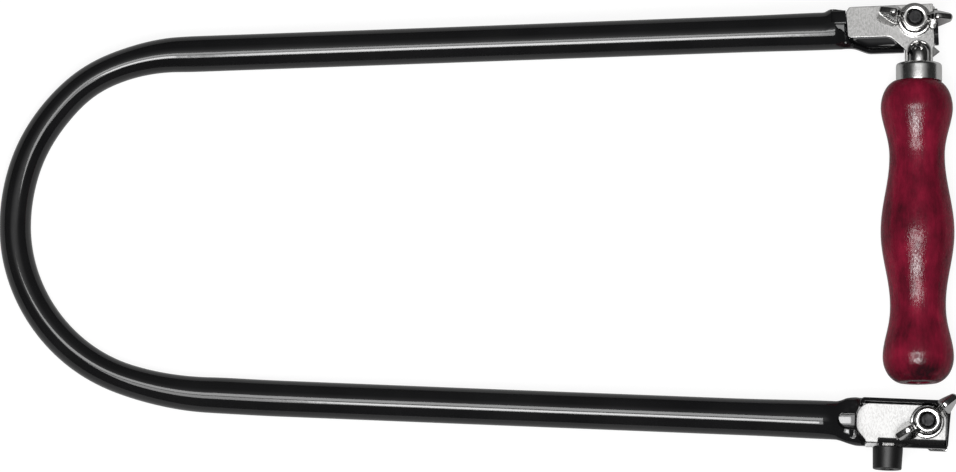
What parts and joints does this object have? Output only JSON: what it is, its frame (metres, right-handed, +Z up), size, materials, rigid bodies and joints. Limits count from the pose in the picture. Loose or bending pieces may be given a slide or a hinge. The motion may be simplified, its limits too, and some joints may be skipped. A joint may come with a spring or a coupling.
{
  "type": "fret saw",
  "caption": "Fret saw with a U-shaped tube frame, a wing-nut blade clamp at the end of each arm, a turned wooden handle folded between the arms and a rubber bench stop.",
  "frame": {"origin": "centre of the saw's extent along X and Y, on the surface that it lies on", "axes": "+X along the arms towards their open ends, +Y across the throat towards the arm that carries the handle, +Z up from the surface, on the wing nuts' side"},
  "size_m": [0.3192, 0.157, 0.025],
  "materials": {
    "black_paint": "glossy black enamel",
    "nickel_plate": "bright plated steel with fine tumbling marks",
    "polished_steel": "polished steel",
    "dark_steel": "plain steel, slightly dull",
    "stained_wood": "turned, stained dark red under a glossy lacquer",
    "black_rubber": "matt moulded rubber"
  },
  "bodies": {
    "frame": {"frame_tube": "black_paint", "handle_bracket": "nickel_plate", "bracket_back_half": "nickel_plate", "sleeve_pin": "dark_steel", "upper_washer": "nickel_plate", "lower_clamp_plate": "nickel_plate", "lower_washer": "nickel_plate", "handle_ferrule": "polished_steel", "handle_grip": "stained_wood", "handle_rod": "dark_steel", "handle_end_nut": "dark_steel", "bench_stop": "black_rubber", "bench_stop_rivet": "nickel_plate"},
    "upper_jaw": {"upper_rear_jaw": "nickel_plate", "upper_clamp_bolt": "dark_steel"},
    "upper_nut": {"upper_wing_nut": "nickel_plate"},
    "lower_jaw": {"lower_rear_jaw": "nickel_plate", "lower_clamp_bolt": "dark_steel"},
    "lower_nut": {"lower_wing_nut": "nickel_plate"}
  },
  "joints": [
    {"name": "upper_nut_turn", "type": "hinge", "parent": "frame", "child": "upper_nut", "pos_m": [0.1456, 0.07279, 0.0148], "axis": [0, 0, 1], "range_deg": [0, 720]},
    {"name": "upper_jaw_slide", "type": "slide", "parent": "frame", "child": "upper_jaw", "axis": [0, 0, -1], "range_m": [0, 0.0016]},
    {"name": "lower_nut_turn", "type": "hinge", "parent": "frame", "child": "lower_nut", "pos_m": [0.14897, -0.06242, 0.0145], "axis": [0, 0, 1], "range_deg": [0, 720]},
    {"name": "lower_jaw_slide", "type": "slide", "parent": "frame", "child": "lower_jaw", "axis": [0, 0, -1], "range_m": [0, 0.0016]}
  ],
  "couplings": [
    {"joint": "upper_jaw_slide", "follows": "upper_nut_turn", "m_per_rad": 0.00012732},
    {"joint": "lower_jaw_slide", "follows": "lower_nut_turn", "m_per_rad": 0.00012732}
  ]
}
